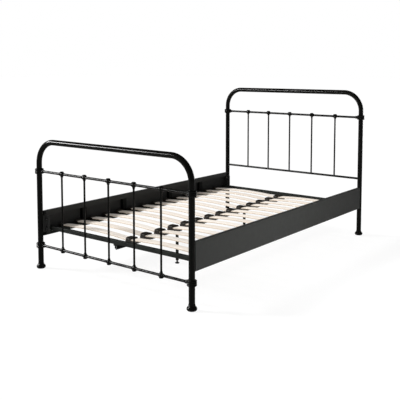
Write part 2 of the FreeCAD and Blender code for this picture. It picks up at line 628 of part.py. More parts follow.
def levelling_foot(y):
    """Glide disc, spanner hexagon and threaded stud."""
    rim = GLIDE_D / 2.0
    disc = lathe([(0, 0), (rim - 2, 0), (rim, 2), (rim, GLIDE_H - 2), (rim - 2, GLIDE_H),
                  (0, GLIDE_H)], V(0, y, 0))
    spanner = hexagon(GLIDE_HEX_AF, V(0, y, GLIDE_H), V(0, y, GLIDE_H + GLIDE_HEX_H))
    stud = rod(STUD_D / 2.0, V(0, y, GLIDE_H), V(0, y, STUD_TOP_Z))
    return fuse([disc, spanner, stud])


# ---- the whole bed ----
def build():
    pieces = {}
    boards = (("foot", -1, FOOTBOARD_HEIGHT, FOOT_LOWER_RAIL_Z, FOOT_UPPER_RAIL_Z),
              ("head", 1, HEADBOARD_HEIGHT, HEAD_LOWER_RAIL_Z, HEAD_UPPER_RAIL_Z))
    for name, end, height, low_z, high_z in boards:
        y = end * BOARD_Y
        pieces[name + "_hoop"] = hoop(height, y)
        pieces[name + "_upper_rail"] = cross_rail(y, high_z)
        pieces[name + "_lower_rail"] = cross_rail(y, low_z)
        pieces[name + "_spindles"] = group([spindle(x, y, low_z, high_z) for x in SPINDLE_XS])
        cast_zs = (low_z, high_z) if name == "foot" else (high_z,)
        pieces[name + "_post_collars"] = group([collar(s, y, z) for _, s in SIDES for z in cast_zs])
        pieces[name + "_rail_knots"] = group([knot(x, y, z, 1 if z == low_z else -1)
                                              for z in cast_zs for x in SPINDLE_XS])
    pieces["post_feet"] = group([bun_foot(s, e * BOARD_Y) for _, s in SIDES for e in (-1, 1)])

    for name, s in SIDES:
        pieces[name + "_side_panel"] = side_panel(s)
        pieces[name + "_slat_ledge"] = slat_ledge(s)
    pieces["post_brackets"] = group([post_bracket(s, e) for _, s in SIDES for e in (-1, 1)])
    pieces["panel_bolts"] = group([panel_bolt(s, e, z) for _, s in SIDES for e in (-1, 1)
                                   for z in bolt_zs()])
    pieces["panel_stiffeners"] = group([stiffener(s, BASE_SHIFT + k * y) for _, s in SIDES
                                        for y in STIFFENER_Y for k in (-1, 1)])

    for name, y in zip(("foot", "head"), end_rail_ys()):
        pieces[name + "_end_rail"] = end_rail(y)
    pieces["centre_beam"] = centre_beam()
    rail_tip = BASE_Z + END_RAIL_WALL + SMALL_BOLT_REACH
    pieces["rail_bolts"] = group([small_bolt(s * rail_bolt_x(), y, BASE_Z - LEDGE_T, rail_tip)
                                  for _, s in SIDES for y in end_rail_ys()])
    pieces["beam_bolts"] = group([small_bolt(0, y, BEAM_BOTTOM_Z, rail_tip) for y in end_rail_ys()])
    for name, y in zip(("foot", "head"), leg_ys()):
        pieces[name + "_centre_leg"] = centre_leg(y)
        pieces[name + "_levelling_foot"] = levelling_foot(y)
    leg_tip = BEAM_BOTTOM_Z + BEAM_WALL + SMALL_BOLT_REACH
    pieces["leg_screws"] = group([small_bolt(0, y, BEAM_BOTTOM_Z - LEG_PLATE[2], leg_tip)
                                  for y in leg_screw_ys()])

    pieces["slat_holders"] = group([slat_holder(y) for y in SLAT_YS])
    pieces["slat_end_caps"] = group([slat_end_cap(s, y) for _, s in SIDES for y in SLAT_YS])
    for name, s in SIDES:
        for i, y in enumerate(SLAT_YS, 1):
            pieces["%s_slat_%02d" % (name, i)] = slat(s, y)
    return pieces


os.makedirs("parts", exist_ok=True)
for node, shape in build().items():
    shape.exportStep("parts/%s.step" % node)
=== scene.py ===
"""Looks of the metal bed frame: lacquered tubes, castings, sprung wood slats and their plastic holders.

Metres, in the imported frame's axes: origin on the floor, +Y from the foot end to the head end, +X to
the right.
Places come from the boxes of the CAD nodes; sizes that a box can't give are named below.
"""
import json
import math

import bmesh
import bpy
from mathutils import Matrix, Vector

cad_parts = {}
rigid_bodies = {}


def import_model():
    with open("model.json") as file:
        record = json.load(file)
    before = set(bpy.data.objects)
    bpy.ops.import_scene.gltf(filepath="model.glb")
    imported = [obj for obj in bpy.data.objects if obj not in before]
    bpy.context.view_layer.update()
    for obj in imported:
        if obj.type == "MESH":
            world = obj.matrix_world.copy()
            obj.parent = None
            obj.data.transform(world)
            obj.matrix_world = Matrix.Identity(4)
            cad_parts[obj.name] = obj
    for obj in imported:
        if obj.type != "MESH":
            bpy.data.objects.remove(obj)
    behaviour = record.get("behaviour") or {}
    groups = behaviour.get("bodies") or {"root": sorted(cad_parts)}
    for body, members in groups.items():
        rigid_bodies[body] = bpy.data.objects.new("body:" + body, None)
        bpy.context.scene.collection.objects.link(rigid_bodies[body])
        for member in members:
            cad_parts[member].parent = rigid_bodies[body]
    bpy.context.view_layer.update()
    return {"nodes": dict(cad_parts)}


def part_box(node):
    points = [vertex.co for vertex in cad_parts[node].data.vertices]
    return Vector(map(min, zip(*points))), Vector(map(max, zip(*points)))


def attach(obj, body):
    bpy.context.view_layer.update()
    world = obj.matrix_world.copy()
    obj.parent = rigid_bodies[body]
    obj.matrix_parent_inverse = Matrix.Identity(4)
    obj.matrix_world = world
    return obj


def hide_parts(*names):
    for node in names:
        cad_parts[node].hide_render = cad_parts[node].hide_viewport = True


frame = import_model()

BODY = "frame"
FULL = 2.0 * math.pi

# ---- sizes that the boxes of the nodes don't give ----
HOOP_BEND_R = 0.140
TUBE_WALL = 0.0015
RAIL_WALL = 0.0012
SPINDLE_WALL = 0.001
SPINDLE_COUNT = 5
CAST_WALL = 0.0018          # of a casting, where it ends on a tube
COLLAR_BEADS = 3
COLLAR_CORE = 0.5           # core of a collar against the post, which the bore takes away
GROOVE_DEPTH = 0.0036       # between the beads of a collar
CONE_REACH = 0.042          # post axis to the end of a collar's cone
CONE_R = 0.0175             # its root
CONE_FLARE = 1.8
CONE_LIP_IN = 0.004         # the lip at the cone's mouth, before and past its end
CONE_LIP_OUT = 0.002
CONE_LIP_RISE = 0.0011
BARREL_LIP_W = 0.006        # narrow bead at each end of a knot's barrel
BARREL_LIP_RISE = 0.0012
NECK_REACH = 0.020          # rail axis to the end of a knot's neck
NECK_CORE_R = 0.011
NECK_R = 0.0125             # its root
NECK_ROOT = 0.008
NECK_FLARE = 1.7
NECK_LIP_W = 0.0035
NECK_LIP_RISE = 0.0010
BUTTON_STEM_R = 0.0098
BUTTON_R = 0.013
BUTTON_RISE = 0.017         # rail axis to the top of a knot's button
COLLAR_VOXEL = 0.0009       # grain of the melted castings
KNOT_VOXEL = 0.0007
FOOT_AXIS_R = 0.0006        # pinhole on a post foot's axis
FOOT_SOLE_R = 0.0150
FOOT_BEVEL_W = 0.0015       # bevel of the sole, across and up
FOOT_BEVEL_H = 0.0006
BUN_CENTRE_Z = 0.0130
BUN_HALF_H = 0.0125
BUN_FROM = -62.0            # degrees from level, lower and upper end of the bun's round
BUN_TO = 58.0
BUN_FULLNESS = 0.8
WAIST_FLARE = 2.2
WAIST_WALL = 0.0016         # past the post, where the waist ends
WAIST_RIM_H = 0.002
WAIST_RIM_RISE = 0.0003
WAIST_RIM_BEVEL = 0.0004
SLAT_T = 0.008
SLAT_BOW = 0.014
SLAT_EDGE_R = 0.0016
SLAT_END_CHAMFER = 0.0006
SLAT_STATIONS = 26          # along a slat
SLAT_MAP_STEP = 3.0         # from one slat to the next in the map of the grain
SLAT_MAP_START = 0.3
CUP_BASE = 0.003
CUP_WALL = 0.003
CUP_RIM = 0.0035
CUP_PLAY = 0.0004
HOOD_T = 0.0015             # hood over a slat's end, where it is thinnest
ARM_RISE = 0.006            # the arms beside a slat rise with it
ARM_TIP_H = 0.0065
HOLDER_ARM_DROP = 0.005     # arms of the centre holders below those of the caps
HOLDER_WEB = 0.008
HOLDER_HOOD = 0.036         # hood over the right slat, from the middle of the web
HOLDER_HEADROOM = 0.0045
TONGUE_REACH = 0.022        # tongue under the left slat
TONGUE_SHARE = 0.6          # its width against the slat's
LUG_T = 0.005               # lugs that clasp the centre beam
LUG_PLAY = 0.0004
CAP_LENGTH = 0.034
CAP_HOOD = 0.012
CAP_HEADROOM = 0.0015
HOOD_BEAD_W = 0.0025        # bead round the end of a hood
HOOD_BEAD_RISE = 0.0006
HOOD_ROUND = 1.15           # how slowly a hood rises from its shoulder
ARM_ROUND = 1.3             # how early an arm rises
ARM_OVERLAP = 0.002         # of the arms with the block they leave
PLASTIC_VOXEL = 0.0010
CUT_PAST = 0.010            # cutters reach this far past the part
ROUND_STEPS = 48            # points round a post
FINE_STEPS = 32             # points round a rail or spindle
TURNED_STEPS = 64           # points round a turned casting
BEND_STEPS = 20             # along a quarter bend

# ---- studio ----
KEY_STRENGTH = 4.95
KEY_ANGLE = 11.0
KEY_FROM = (-0.76, -0.40, 0.51)
AIR_DIFFUSE = 0.44          # brightness of the air: for surfaces, in reflections, and seen
AIR_IN_REFLECTIONS = 0.02
AIR_SEEN = 1.0
FLOOR_HALF = 60.0
FLOOR_GLOW = 0.88
CAMERA_PLACE = (2.8091, -3.7610, 1.2973)
CAMERA_TILT = -0.0823       # from level
CAMERA_TURN = 0.6628
CAMERA_LENS = 60.74
CAMERA_SENSOR = 36.0
CAMERA_SHIFT_Y = -0.195

# ---- driving places, from the frame ----
foot_hoop_low, foot_hoop_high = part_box("foot_hoop")
POST_R = (foot_hoop_high.y - foot_hoop_low.y) / 2.0
POST_X = foot_hoop_high.x - POST_R
POST_FOOT_Z = foot_hoop_low.z
RAIL_R = (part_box("foot_upper_rail")[1].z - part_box("foot_upper_rail")[0].z) / 2.0
SPINDLE_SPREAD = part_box("foot_spindles")
SPINDLE_R = (SPINDLE_SPREAD[1].y - SPINDLE_SPREAD[0].y) / 2.0
SPINDLE_PITCH = (SPINDLE_SPREAD[1].x - SPINDLE_SPREAD[0].x - 2.0 * SPINDLE_R) / (SPINDLE_COUNT - 1)
SPINDLE_XS = [(i - (SPINDLE_COUNT - 1) / 2.0) * SPINDLE_PITCH for i in range(SPINDLE_COUNT)]
SIDES = (("left", -1), ("right", 1))
COATS_AND_SHADE = {                   # nodes whose coat isn't that of their slot; the near-black coat of the stiffeners and the centre beam is partly painted shade
    "panel_stiffeners": "stiffener_steel_and_shade",
    "centre_beam": "stiffener_steel_and_shade",
    "post_brackets": "panel_steel",
}
BOARDS = ("foot", "head")


def middle(node):
    low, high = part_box(node)
    return (low + high) / 2.0


# ---- materials ----
def material(name, roughness, specular):
    """A new material, with its nodes, links and shader. Constant values go on the shader itself."""
    made = bpy.data.materials.new(name)
    made.use_nodes = True
    tree = made.node_tree
    shader = tree.nodes["Principled BSDF"]
    shader.inputs["Roughness"].default_value = roughness
    shader.inputs["Specular IOR Level"].default_value = specular
    return made, tree, shader


def place_of(tree, scale=(1.0, 1.0, 1.0)):
    """Object coordinates, stretched by scale."""
    coordinates = tree.nodes.new("ShaderNodeTexCoord")
    mapping = tree.nodes.new("ShaderNodeMapping")
    mapping.inputs["Scale"].default_value = scale
    tree.links.new(coordinates.outputs["Object"], mapping.inputs["Vector"])
    return mapping.outputs["Vector"]


def noise(tree, vector, scale, detail=2.0, rough=0.5):
    node = tree.nodes.new("ShaderNodeTexNoise")
    node.inputs["Scale"].default_value = scale
    node.inputs["Detail"].default_value = detail
    node.inputs["Roughness"].default_value = rough
    tree.links.new(vector, node.inputs["Vector"])
    return node.outputs["Fac"]


def remap(tree, value, low, high, from_low=0.3, from_high=0.7):
    node = tree.nodes.new("ShaderNodeMapRange")
    node.inputs["From Min"].default_value = from_low
    node.inputs["From Max"].default_value = from_high
    node.inputs["To Min"].default_value = low
    node.inputs["To Max"].default_value = high
    tree.links.new(value, node.inputs["Value"])
    return node.outputs["Result"]


def ramp(tree, value, stops):
    """A colour ramp; stops are (position, (r, g, b))."""
    node = tree.nodes.new("ShaderNodeValToRGB")
    ends = node.color_ramp.elements
    while len(ends) < len(stops):
        ends.new(0.5)
    for end, (position, colour) in zip(ends, stops):
        end.position = position
        end.color = (*colour, 1.0)
    tree.links.new(value, node.inputs["Fac"])
    return node.outputs["Color"]


def blend_colours(tree, share, first, second, how="MIX"):
    node = tree.nodes.new("ShaderNodeMix")
    node.data_type = "RGBA"
    node.blend_type = how
    for socket, given in ((node.inputs[0], share), (node.inputs[6], first), (node.inputs[7], second)):
        if isinstance(given, bpy.types.NodeSocket):
            tree.links.new(given, socket)
        else:
            socket.default_value = given
    return node.outputs[2]


def bump(tree, shader, height, strength, distance):
    node = tree.nodes.new("ShaderNodeBump")
    node.inputs["Strength"].default_value = strength
    node.inputs["Distance"].default_value = distance
    tree.links.new(height, node.inputs["Height"])
    tree.links.new(node.outputs["Normal"], shader.inputs["Normal"])


def lacquer(name, dark, light, roughness, specular, drift_scale, peel_scale, peel):
    """Baked lacquer on steel: a dark tone that drifts a little, and fine orange peel."""
    made, tree, shader = material(name, 0.35, specular)
    place = place_of(tree)
    drift = noise(tree, place, drift_scale, 2.0)
    colour = ramp(tree, drift, [(0.3, dark), (0.7, light)])
    tree.links.new(colour, shader.inputs["Base Color"])
    wear = noise(tree, place, 45.0, 4.0, 0.6)
    tree.links.new(remap(tree, wear, *roughness), shader.inputs["Roughness"])
    bump(tree, shader, noise(tree, place, peel_scale, 1.0), peel, 0.0001)
    return made


def zinc():
    """Zinc plate on bolts: a mottled bluish metal."""
    made, tree, shader = material("bolt_zinc", 0.4, 0.5)
    shader.inputs["Metallic"].default_value = 1.0
    place = place_of(tree)
    mottle = noise(tree, place, 260.0, 4.0, 0.65)
    tree.links.new(ramp(tree, mottle, [(0.3, (0.23, 0.24, 0.25)), (0.7, (0.42, 0.43, 0.44))]),
                   shader.inputs["Base Color"])
    tree.links.new(remap(tree, mottle, 0.28, 0.5), shader.inputs["Roughness"])
    bump(tree, shader, mottle, 0.1, 0.0002)
    return made


def moulded(name, dark, light, specular, grain_scale):
    """Injection-moulded plastic with a fine etched grain."""
    made, tree, shader = material(name, 0.5, specular)
    place = place_of(tree)
    drift = noise(tree, place, 30.0, 2.0)
    tree.links.new(ramp(tree, drift, [(0.3, dark), (0.7, light)]), shader.inputs["Base Color"])
    grain = noise(tree, place, grain_scale, 3.0, 0.6)
    tree.links.new(remap(tree, grain, 0.42, 0.6), shader.inputs["Roughness"])
    bump(tree, shader, grain, 0.2, 0.0003)
    return made


def birch():
    """Bent birch ply: long grain on the faces, stripes of the plies on the edges, each slat its own tone.

    The map "grain" runs along the slat in u (one slat every SLAT_MAP_STEP) and round its section in v;
    the map "ply" holds the depth through the thickness in u.
    """
    made, tree, shader = material("slat_birch", 0.5, 0.35)
    grain_map = tree.nodes.new("ShaderNodeUVMap")
    grain_map.uv_map = "grain"
    ply_map = tree.nodes.new("ShaderNodeUVMap")
    ply_map.uv_map = "ply"
    stretch = tree.nodes.new("ShaderNodeMapping")
    stretch.inputs["Scale"].default_value = (1.6, 55.0, 1.0)
    tree.links.new(grain_map.outputs["UV"], stretch.inputs["Vector"])
    fibres = noise(tree, stretch.outputs["Vector"], 2.6, 6.0, 0.62)
    pores = tree.nodes.new("ShaderNodeMapping")
    pores.inputs["Scale"].default_value = (22.0, 420.0, 1.0)
    tree.links.new(grain_map.outputs["UV"], pores.inputs["Vector"])
    flecks = noise(tree, pores.outputs["Vector"], 2.0, 3.0, 0.6)
    figure = ramp(tree, fibres, [(0.26, (0.68, 0.605, 0.545)), (0.44, (0.86, 0.795, 0.725)),
                                 (0.66, (0.93, 0.885, 0.825))])
    fleck_share = remap(tree, flecks, 0.0, 0.30, 0.52, 0.78)
    faces = blend_colours(tree, fleck_share, figure, (0.47, 0.385, 0.315, 1.0))

    # one tone per slat, from the slat's own stretch of the map
    split = tree.nodes.new("ShaderNodeSeparateXYZ")
    tree.links.new(grain_map.outputs["UV"], split.inputs["Vector"])
    which = tree.nodes.new("ShaderNodeMath")
    which.operation = "DIVIDE"
    which.inputs[1].default_value = SLAT_MAP_STEP
    tree.links.new(split.outputs["X"], which.inputs[0])
    whole = tree.nodes.new("ShaderNodeMath")
    whole.operation = "FLOOR"
    tree.links.new(which.outputs["Value"], whole.inputs[0])
    chance = tree.nodes.new("ShaderNodeTexWhiteNoise")
    chance.noise_dimensions = "1D"
    tree.links.new(whole.outputs["Value"], chance.inputs["W"])
    tone = ramp(tree, chance.outputs["Value"], [(0.0, (0.91, 0.88, 0.85)), (0.5, (0.98, 0.96, 0.94)),
                                                (1.0, (1.0, 1.0, 1.0))])
    faces = blend_colours(tree, 1.0, faces, tone, "MULTIPLY")

    # plies along the two long edges
    depth = tree.nodes.new("ShaderNodeSeparateXYZ")
    tree.links.new(ply_map.outputs["UV"], depth.inputs["Vector"])
    layer = tree.nodes.new("ShaderNodeMath")
    layer.operation = "SINE"
    turn = tree.nodes.new("ShaderNodeMath")
    turn.operation = "MULTIPLY"
    turn.inputs[1].default_value = FULL * 3.5
    tree.links.new(depth.outputs["X"], turn.inputs[0])
    tree.links.new(turn.outputs["Value"], layer.inputs[0])
    plies = ramp(tree, remap(tree, layer.outputs["Value"], 0.0, 1.0, -0.4, 0.4),
                 [(0.0, (0.52, 0.42, 0.33)), (1.0, (0.80, 0.71, 0.60))])
    facing = tree.nodes.new("ShaderNodeNewGeometry")
    sideways = tree.nodes.new("ShaderNodeSeparateXYZ")
    tree.links.new(facing.outputs["Normal"], sideways.inputs["Vector"])
    size = tree.nodes.new("ShaderNodeMath")
    size.operation = "ABSOLUTE"
    tree.links.new(sideways.outputs["Y"], size.inputs[0])
    on_edge = remap(tree, size.outputs["Value"], 0.0, 1.0, 0.55, 0.9)
    tree.links.new(blend_colours(tree, on_edge, faces, plies), shader.inputs["Base Color"])
    tree.links.new(remap(tree, flecks, 0.42, 0.62), shader.inputs["Roughness"])
    bump(tree, shader, flecks, 0.15, 0.0003)
    return made


MATERIALS = {
    "board_tube": lacquer(
        "tube_lacquer", (0.0030, 0.0030, 0.0026), (0.0042, 0.0042, 0.0037),
        roughness=(0.17, 0.22), specular=0.11, drift_scale=3.0, peel_scale=260.0, peel=0.05),
    "casting": lacquer(
        "casting_lacquer", (0.0028, 0.0028, 0.0024), (0.0050, 0.0050, 0.0045),
        roughness=(0.20, 0.28), specular=0.14, drift_scale=30.0, peel_scale=180.0, peel=0.10),
    "panel_steel": lacquer(
        "panel_powder_coat", (0.0265, 0.0270, 0.0255), (0.0295, 0.0300, 0.0285),
        roughness=(0.50, 0.58), specular=0.28, drift_scale=1.5, peel_scale=500.0, peel=0.08),
    # near-black, far darker than the panel steel: partly the steel's own colour, partly painted shade for
    # the dark bars in the panels' channel and the beam under the slats
    "stiffener_steel_and_shade": lacquer(
        "stiffener_coat_and_shade", (0.0020, 0.0022, 0.0016), (0.0032, 0.0034, 0.0026),
        roughness=(0.55, 0.65), specular=0.15, drift_scale=8.0, peel_scale=500.0, peel=0.08),
    "base_steel": lacquer(
        "base_powder_coat", (0.0105, 0.0120, 0.0100), (0.0135, 0.0155, 0.0130),
        roughness=(0.50, 0.60), specular=0.12, drift_scale=4.0, peel_scale=500.0, peel=0.08),
    "bolt_steel": zinc(),
    "slat_wood": birch(),
    "holder_plastic": moulded(
        "holder_nylon", (0.012, 0.0090, 0.0060), (0.019, 0.0150, 0.0105), specular=0.30, grain_scale=900.0),
    "glide_plastic": moulded(
        "glide_nylon", (0.020, 0.020, 0.020), (0.034, 0.034, 0.033), specular=0.35, grain_scale=900.0),
}


# ---- mesh building ----
class Shells:
    """Closed shells gathered for one mesh, each made of rings of points."""

    def __init__(self):
        self.points = []
        self.faces = []

    def loft(self, rings, wrap=False):
        """Joins equal rings in order. Flat caps close the ends, or wrap joins the last ring to the first."""
        count = len(rings[0])
        first = len(self.points)
        for ring in rings:
            self.points.extend(ring)
        for i in range(len(rings) if wrap else len(rings) - 1):
            here = first + i * count
            there = first + ((i + 1) % len(rings)) * count
            for j in range(count):
                k = (j + 1) % count
                self.faces.append((here + j, here + k, there + k, there + j))
        if not wrap:
            last = first + (len(rings) - 1) * count
            self.faces.append(tuple(first + j for j in reversed(range(count))))
            self.faces.append(tuple(last + j for j in range(count)))

    def lathe(self, outline, matrix=Matrix.Identity(4), steps=ROUND_STEPS, wrap=False):
        """Turns (radius, height) points about the local Z axis."""
        angles = [FULL * j / steps for j in range(steps)]
        self.loft([[matrix @ Vector((r * math.cos(a), r * math.sin(a), z)) for a in angles]
                   for r, z in outline], wrap)

    def block(self, low, high):
        """A block between two corners, to be melted or used as a cutter."""
        corners = [(low[0], low[1]), (high[0], low[1]), (high[0], high[1]), (low[0], high[1])]
        self.loft([[Vector((x, y, z)) for x, y in corners] for z in (low[2], high[2])])

    def stamp(self, template, matrix):
        """Adds a copy of a (points, faces) template."""
        points, faces = template
        first = len(self.points)
        self.points.extend(matrix @ p for p in points)
        self.faces.extend(tuple(first + i for i in face) for face in faces)

    def mesh(self, name):
        """The shells as a mesh, all faces looking outwards."""
        made = bpy.data.meshes.new(name)
        made.from_pydata([tuple(p) for p in self.points], [], self.faces)
        work = bmesh.new()
        work.from_mesh(made)
        bmesh.ops.recalc_face_normals(work, faces=work.faces)
        work.to_mesh(made)
        work.free()
        return made


def show(name, mesh, slot, nodes, crease=40.0, body=BODY):
    """A finished piece that stands for the given CAD nodes."""
    piece = bpy.data.objects.new(name, mesh)
    bpy.context.scene.collection.objects.link(piece)
    mesh.materials.append(MATERIALS[slot])
    mesh.polygons.foreach_set("use_smooth", [True] * len(mesh.polygons))
    mesh.set_sharp_from_angle(angle=math.radians(crease))
    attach(piece, body)
    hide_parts(*nodes)
    return piece


def melted(shells, voxel, keep, rounds, cutters):
    """Runs overlapping shells together with soft corners, as in a casting or a moulding, and then cuts.

    voxel is the grain, keep the share of faces kept and rounds the number of smoothing passes.
    Returns (points, faces), a template for Shells.stamp.
    """
    scene = bpy.context.scene.collection.objects
    work = bpy.data.objects.new("melt", shells.mesh("melt"))
    scene.link(work)
    remesh = work.modifiers.new("remesh", "REMESH")
    remesh.mode = "VOXEL"
    remesh.voxel_size = voxel
    soften = work.modifiers.new("soften", "SMOOTH")
    soften.factor = 0.5
    soften.iterations = rounds
    thin = work.modifiers.new("thin", "DECIMATE")
    thin.ratio = keep
    tools = []
    for cutter in cutters:
        tool = bpy.data.objects.new("cutter", cutter.mesh("cutter"))
        scene.link(tool)
        cut = work.modifiers.new("cut", "BOOLEAN")
        cut.operation = "DIFFERENCE"
        cut.solver = "EXACT"
        cut.object = tool
        tools.append(tool)
    bpy.context.view_layer.update()
    done = bpy.data.meshes.new_from_object(work.evaluated_get(bpy.context.evaluated_depsgraph_get()))
    template = ([v.co.copy() for v in done.vertices], [tuple(p.vertices) for p in done.polygons])
    for spare in [work, *tools]:
        data = spare.data
        bpy.data.objects.remove(spare)
        bpy.data.meshes.remove(data)
    bpy.data.meshes.remove(done)
    return template


def bulge(r_low, r_high, z0, z1, steps):
    """Outline of one rounded bead, from r_low out to r_high and back."""
    return [(r_low + (r_high - r_low) * math.sin(math.pi * i / steps), z0 + (z1 - z0) * i / steps)
            for i in range(steps + 1)]


def trumpet(r_root, r_mouth, z0, z1, flare, steps):
    """Outline that narrows from r_root to r_mouth, fast at first and then slowly."""
    return [(r_mouth + (r_root - r_mouth) * (1.0 - i / steps) ** flare, z0 + (z1 - z0) * i / steps)
            for i in range(steps + 1)]


def rod(r, start, end, steps=ROUND_STEPS):
    """A plain rod along a line, as a cutter."""
    made = Shells()
    made.lathe([(r, 0.0), (r, (end - start).length)], along(start, end), steps)
    return made


def along(start, end):
    """A matrix that stands at start with its Z axis towards end."""
    turn = (end - start).to_track_quat("Z", "Y").to_matrix().to_4x4()
    return Matrix.Translation(start) @ turn


# ---- tubes of the two boards ----
def hoop_line(base_z, top_z, y):
    """Points and directions along the bent tube: up a post, round, across, round and down."""
    bend = HOOP_BEND_R
    line = [(Vector((-POST_X, y, base_z)), Vector((0, 0, 1)))]
    for side, turn_from in ((-1, math.pi), (1, math.pi / 2.0)):
        centre = Vector((side * (POST_X - bend), y, top_z - bend))
        for i in range(BEND_STEPS + 1):
            a = turn_from - math.pi / 2.0 * i / BEND_STEPS
            out = Vector((math.cos(a), 0.0, math.sin(a)))
            line.append((centre + bend * out, Vector((math.sin(a), 0.0, -math.cos(a)))))
    line.append((Vector((POST_X, y, base_z)), Vector((0, 0, -1))))
    return line


def swept(line, r):
    """One ring of points at every place of a line in the XZ plane."""
    across = Vector((0, 1, 0))
    angles = [FULL * j / ROUND_STEPS for j in range(ROUND_STEPS)]
    rings = []
    for place, ahead in line:
        up = ahead.cross(across)
        rings.append([place + r * (math.cos(a) * across + math.sin(a) * up) for a in angles])
    return rings


def make_hoop(board):
    node = board + "_hoop"
    low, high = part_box(node)
    line = hoop_line(low.z, high.z - POST_R, middle(node).y)
    shells = Shells()
    shells.loft(swept(line, POST_R) + swept(line, POST_R - TUBE_WALL)[::-1], wrap=True)
    show(node + "_tube", shells.mesh(node), "board_tube", [node])


def coped_end(r, seat_r, axis_at, along_axis, towards, centre):
    """A ring round a tube where it meets a round member of radius seat_r, whose axis is at axis_at."""
    ring = []
    for j in range(FINE_STEPS):
        a = FULL * j / FINE_STEPS
        side = r * math.cos(a)
        end = axis_at + towards * math.sqrt(seat_r ** 2 - side ** 2)
        if along_axis == "X":
            ring.append(Vector((end, centre.y + side, centre.z + r * math.sin(a))))
        else:
            ring.append(Vector((centre.x + r * math.sin(a), centre.y + side, end)))
    return ring


def coped_tube(shells, r, wall, seat_r, low_at, high_at, along_axis, centre):
    """A tube between two round members, its ends cut to fit round them."""
    rings = [coped_end(r, seat_r, low_at, along_axis, 1, centre),
             coped_end(r, seat_r, high_at, along_axis, -1, centre),
             coped_end(r - wall, seat_r, high_at, along_axis, -1, centre),
             coped_end(r - wall, seat_r, low_at, along_axis, 1, centre)]
    shells.loft(rings, wrap=True)


def make_rails(board):
    for level in ("upper", "lower"):
        node = "%s_%s_rail" % (board, level)
        shells = Shells()
        coped_tube(shells, RAIL_R, RAIL_WALL, POST_R, -POST_X, POST_X, "X", middle(node))
        show(node + "_tube", shells.mesh(node), "board_tube", [node])


def make_spindles(board):
    node = board + "_spindles"
    low = middle(board + "_lower_rail")
    high = middle(board + "_upper_rail")
    shells = Shells()
    for x in SPINDLE_XS:
        coped_tube(shells, SPINDLE_R, SPINDLE_WALL, RAIL_R, low.z, high.z, "Z", Vector((x, low.y, 0)))
    show(node + "_tubes", shells.mesh(node), "board_tube", [node])


# ---- castings ----
def collar_template():
    """Three beads round the post and a flared cone over the rail, which leaves towards -X."""
    low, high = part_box("head_post_collars")
    bead_r = (high.y - low.y) / 2.0
    groove_r = bead_r - GROOVE_DEPTH
    height = high.z - low.z
    bead_h = height / COLLAR_BEADS
    shells = Shells()
    outline = [(POST_R * COLLAR_CORE, -height / 2.0)]
    for i in range(COLLAR_BEADS):
        z0 = -height / 2.0 + bead_h * i
        outline += bulge(groove_r, bead_r, z0, z0 + bead_h, 10)
    outline.append((POST_R * COLLAR_CORE, height / 2.0))
    shells.lathe(outline, steps=TURNED_STEPS)
    mouth = RAIL_R + CAST_WALL
    lip_start = CONE_REACH - CONE_LIP_IN
    flare = [(CONE_R, 0.0)]
    flare += trumpet(CONE_R, mouth, POST_R, lip_start, CONE_FLARE, 12)
    flare += bulge(mouth, mouth + CONE_LIP_RISE, lip_start, CONE_REACH + CONE_LIP_OUT, 8)
    shells.lathe(flare, along(Vector((0, 0, 0)), Vector((-1, 0, 0))))
    bores = [rod(POST_R, Vector((0, 0, -height)), Vector((0, 0, height))),
             rod(RAIL_R, Vector((0, 0, 0)), Vector((-2.0 * CONE_REACH, 0, 0)), FINE_STEPS)]
    return melted(shells, COLLAR_VOXEL, keep=0.35, rounds=3, cutters=bores)


def knot_template():
    """A barrel along the rail, a trumpet neck up on to the spindle and a button underneath."""
    low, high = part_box("head_rail_knots")
    barrel_r = (high.y - low.y) / 2.0
    half = (high.x - low.x - (SPINDLE_XS[-1] - SPINDLE_XS[0])) / 2.0
    thin = RAIL_R + CAST_WALL
    lip_r = thin + BARREL_LIP_RISE
    inner = half - BARREL_LIP_W
    shells = Shells()
    barrel = bulge(thin, lip_r, -half, -inner, 6)
    barrel += bulge(thin, barrel_r, -inner, inner, 14)[1:]
    barrel += bulge(thin, lip_r, inner, half, 6)[1:]
    shells.lathe(barrel, along(Vector((0, 0, 0)), Vector((1, 0, 0))))
    mouth = SPINDLE_R + CAST_WALL
    lip_start = NECK_REACH - NECK_LIP_W
    neck = [(NECK_CORE_R, 0.0)]
    neck += trumpet(NECK_R, mouth, NECK_ROOT, lip_start, NECK_FLARE, 10)
    neck += bulge(mouth, mouth + NECK_LIP_RISE, lip_start, NECK_REACH, 6)
    shells.lathe(neck, steps=40)
    button = [(BUTTON_STEM_R, 0.0), (BUTTON_STEM_R, -0.0095), (BUTTON_R, -0.0105),
              (BUTTON_R + 0.0004, -0.0125), (BUTTON_R - 0.0008, -0.0150), (BUTTON_R - 0.0035, -0.0164),
              (0.004, -BUTTON_RISE)]
    shells.lathe(button, steps=40)
    reach = 2.0 * NECK_REACH
    bores = [rod(RAIL_R, Vector((-reach, 0, 0)), Vector((reach, 0, 0)), FINE_STEPS),
             rod(SPINDLE_R, Vector((0, 0, 0)), Vector((0, 0, reach)), FINE_STEPS)]
    return melted(shells, KNOT_VOXEL, keep=0.30, rounds=3, cutters=bores)


def make_castings():
    collar = collar_template()
    knot = knot_template()
    about = Matrix.Rotation(math.pi, 4, "Z")
    over = Matrix.Rotation(math.pi, 4, "X")
    for board in BOARDS:
        rails = [middle(board + "_upper_rail")]
        if board == "foot":
            rails.append(middle(board + "_lower_rail"))
        collars = Shells()
        knots = Shells()
        for level, rail in enumerate(rails):
            for _, side in SIDES:
                spot = Matrix.Translation((side * POST_X, rail.y, rail.z))
                collars.stamp(collar, spot if side > 0 else spot @ about)
            for x in SPINDLE_XS:
                spot = Matrix.Translation((x, rail.y, rail.z))
                knots.stamp(knot, spot @ over if level == 0 else spot)
        show(board + "_collar_castings", collars.mesh(board), "casting", [board + "_post_collars"], 50.0)
        show(board + "_knot_castings", knots.mesh(board), "casting", [board + "_rail_knots"], 50.0)


